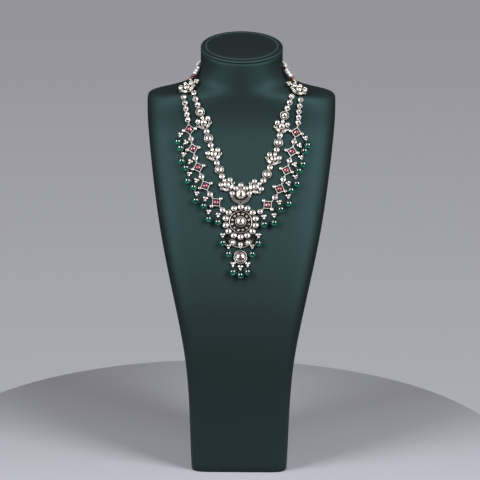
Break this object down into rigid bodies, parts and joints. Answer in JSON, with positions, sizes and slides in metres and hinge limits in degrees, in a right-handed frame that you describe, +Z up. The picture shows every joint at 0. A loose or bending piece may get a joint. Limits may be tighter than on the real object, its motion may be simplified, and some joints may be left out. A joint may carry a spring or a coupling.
{
  "type": "kundan necklace on a neck bust",
  "caption": "Long necklace of two stone-set strands with a round medallion, a hanging drop and emerald beads, on a tall padded neck bust.",
  "frame": {"origin": "middle of the bust's flat underside", "axes": "+Z up, -Y out of the chest towards the viewer, +X to the viewer's right"},
  "size_m": [0.2434, 0.2154, 0.5383],
  "materials": {
    "leatherette": "fine-grained, satin",
    "oxidised_silver": "polished edges, dark oxide in the recesses",
    "clear_stone": "foiled flat-cut stone",
    "ruby": "foiled cabochon",
    "emerald_glass": "polished bead",
    "pearl": "lustrous",
    "garnet_red": "polished bead",
    "gilt_brass": "satin"
  },
  "bodies": {
    "root": {"bust_body": "leatherette", "bust_top_pad": "leatherette", "end_plate_left": "oxidised_silver", "end_plate_right": "oxidised_silver", "flower_left_1": "oxidised_silver", "flower_left_2": "oxidised_silver", "flower_left_3": "oxidised_silver", "flower_right_1": "oxidised_silver", "flower_right_2": "oxidised_silver", "flower_right_3": "oxidised_silver", "ring_link_left_1": "oxidised_silver", "ring_link_left_2": "oxidised_silver", "ring_link_left_3": "oxidised_silver", "ring_link_right_1": "oxidised_silver", "ring_link_right_2": "oxidised_silver", "ring_link_right_3": "oxidised_silver", "square_link_left_1": "oxidised_silver", "square_link_left_2": "oxidised_silver", "square_link_left_3": "oxidised_silver", "square_link_left_4": "oxidised_silver", "square_link_left_5": "oxidised_silver", "square_link_right_1": "oxidised_silver", "square_link_right_2": "oxidised_silver", "square_link_right_3": "oxidised_silver", "square_link_right_4": "oxidised_silver", "square_link_right_5": "oxidised_silver", "centre_piece": "oxidised_silver", "medallion": "oxidised_silver", "fan_piece": "oxidised_silver", "round_drop": "oxidised_silver", "inner_collets_left": "oxidised_silver", "inner_collets_right": "oxidised_silver", "outer_collets_left": "oxidised_silver", "outer_collets_right": "oxidised_silver", "drop_caps_left": "oxidised_silver", "drop_caps_right": "oxidised_silver", "drop_caps_middle": "oxidised_silver", "emerald_drops_left": "emerald_glass", "emerald_drops_right": "emerald_glass", "emerald_drops_middle": "emerald_glass", "inner_stones_left": "clear_stone", "inner_stones_right": "clear_stone", "outer_stones_left": "clear_stone", "outer_stones_right": "clear_stone", "rubies_left": "ruby", "rubies_right": "ruby", "centre_stones": "clear_stone", "medallion_stones": "clear_stone", "pendant_stones": "clear_stone", "nape_pearls_left": "pearl", "nape_pearls_right": "pearl", "nape_red_beads": "garnet_red", "nape_gold_bead": "gilt_brass", "clasp": "oxidised_silver"}
  },
  "joints": []
}
